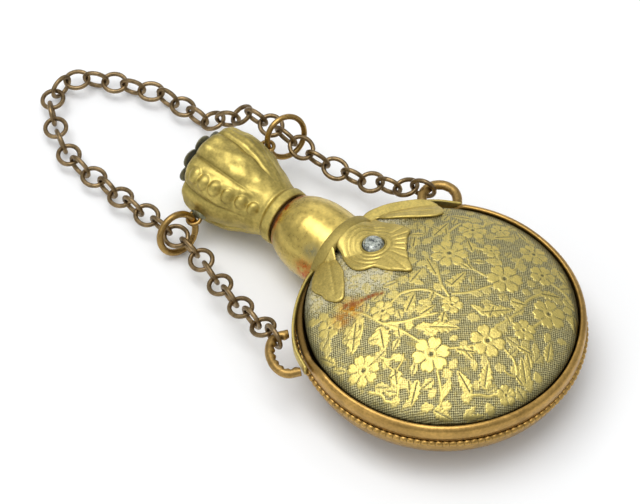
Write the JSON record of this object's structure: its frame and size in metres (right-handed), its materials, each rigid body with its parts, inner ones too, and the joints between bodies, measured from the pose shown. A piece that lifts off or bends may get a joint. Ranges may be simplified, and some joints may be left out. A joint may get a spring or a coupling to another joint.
{
  "type": "scent flask",
  "caption": "Round domed metal scent flask with a glass liner, gemmed neck collar and a bulbous stopper held captive by a finger chain running through two rings.",
  "frame": {"origin": "middle of the small flat on the back of the flask, on the surface it lies on", "axes": "+Y along the neck towards the stopper, +Z out of the decorated front dome"},
  "size_m": [0.0418, 0.0958, 0.0152],
  "materials": {
    "gilt_plate": "worn gilt relief over a dull silvered, stippled ground",
    "rose_brass": "worn satin, coppery",
    "yellow_brass": "matte to softly polished, tarnished in the recesses",
    "olive_brass": "embossed, polished high spots, dark recesses",
    "dark_bronze": "antique, dark with bright edges",
    "pewter": "dull dark grey",
    "clear_glass": "clear",
    "paste_stone": "faceted, foil backed, greyed",
    "cork": "fine-grained cork"
  },
  "bodies": {
    "flask": {"glass_vial": "clear_glass", "front_plate": "gilt_plate", "back_plate": "gilt_plate", "front_bezel": "rose_brass", "rope_girdle": "yellow_brass", "neck_sleeve": "yellow_brass", "collar": "yellow_brass", "rhinestone": "paste_stone", "lug_left": "yellow_brass", "lug_right": "yellow_brass", "chain_link_01": "dark_bronze", "chain_link_02": "dark_bronze", "chain_link_03": "dark_bronze", "chain_link_04": "dark_bronze", "chain_link_05": "dark_bronze", "chain_link_06": "dark_bronze", "chain_link_07": "dark_bronze", "chain_link_08": "dark_bronze", "chain_link_09": "dark_bronze", "chain_link_10": "dark_bronze", "chain_link_11": "dark_bronze", "chain_link_12": "dark_bronze", "chain_link_13": "dark_bronze", "chain_link_14": "dark_bronze", "chain_link_15": "dark_bronze", "chain_link_16": "dark_bronze", "chain_link_30": "dark_bronze", "chain_link_31": "dark_bronze", "chain_link_32": "dark_bronze", "chain_link_33": "dark_bronze", "chain_link_34": "dark_bronze", "chain_link_35": "dark_bronze", "chain_link_36": "dark_bronze", "chain_link_37": "dark_bronze", "chain_link_38": "dark_bronze", "chain_link_39": "dark_bronze", "chain_link_40": "dark_bronze", "chain_link_41": "dark_bronze", "chain_link_42": "dark_bronze", "chain_link_43": "dark_bronze", "chain_link_44": "dark_bronze", "chain_link_45": "dark_bronze"},
    "stopper": {"stopper_shell": "olive_brass", "crown_cap": "pewter", "stopper_plug": "cork"},
    "ring_left": {"ring_left": "yellow_brass"},
    "ring_right": {"ring_right": "yellow_brass"},
    "finger_loop": {"chain_link_17": "dark_bronze", "chain_link_18": "dark_bronze", "chain_link_19": "dark_bronze", "chain_link_20": "dark_bronze", "chain_link_21": "dark_bronze", "chain_link_22": "dark_bronze", "chain_link_23": "dark_bronze", "chain_link_24": "dark_bronze", "chain_link_25": "dark_bronze", "chain_link_26": "dark_bronze", "chain_link_27": "dark_bronze", "chain_link_28": "dark_bronze", "chain_link_29": "dark_bronze"}
  },
  "joints": [
    {"name": "stopper_pull", "type": "slide", "parent": "flask", "child": "stopper", "axis": [0, 1, 0], "range_m": [0, 0.006]},
    {"name": "ring_left_swing", "type": "hinge", "parent": "stopper", "child": "ring_left", "pos_m": [-0.00747, 0.0398, 0.00457], "axis": [0.309, 0, -0.9511], "range_deg": [-15, 12]},
    {"name": "ring_right_swing", "type": "hinge", "parent": "stopper", "child": "ring_right", "pos_m": [0.00784, 0.0396, 0.00741], "axis": [-0.0523, 0, 0.9986], "range_deg": [-2, 25]},
    {"name": "finger_loop_lift", "type": "hinge", "parent": "flask", "child": "finger_loop", "pos_m": [0, 0.05952, 0.0021], "axis": [1, 0, 0], "range_deg": [0, 75]}
  ]
}
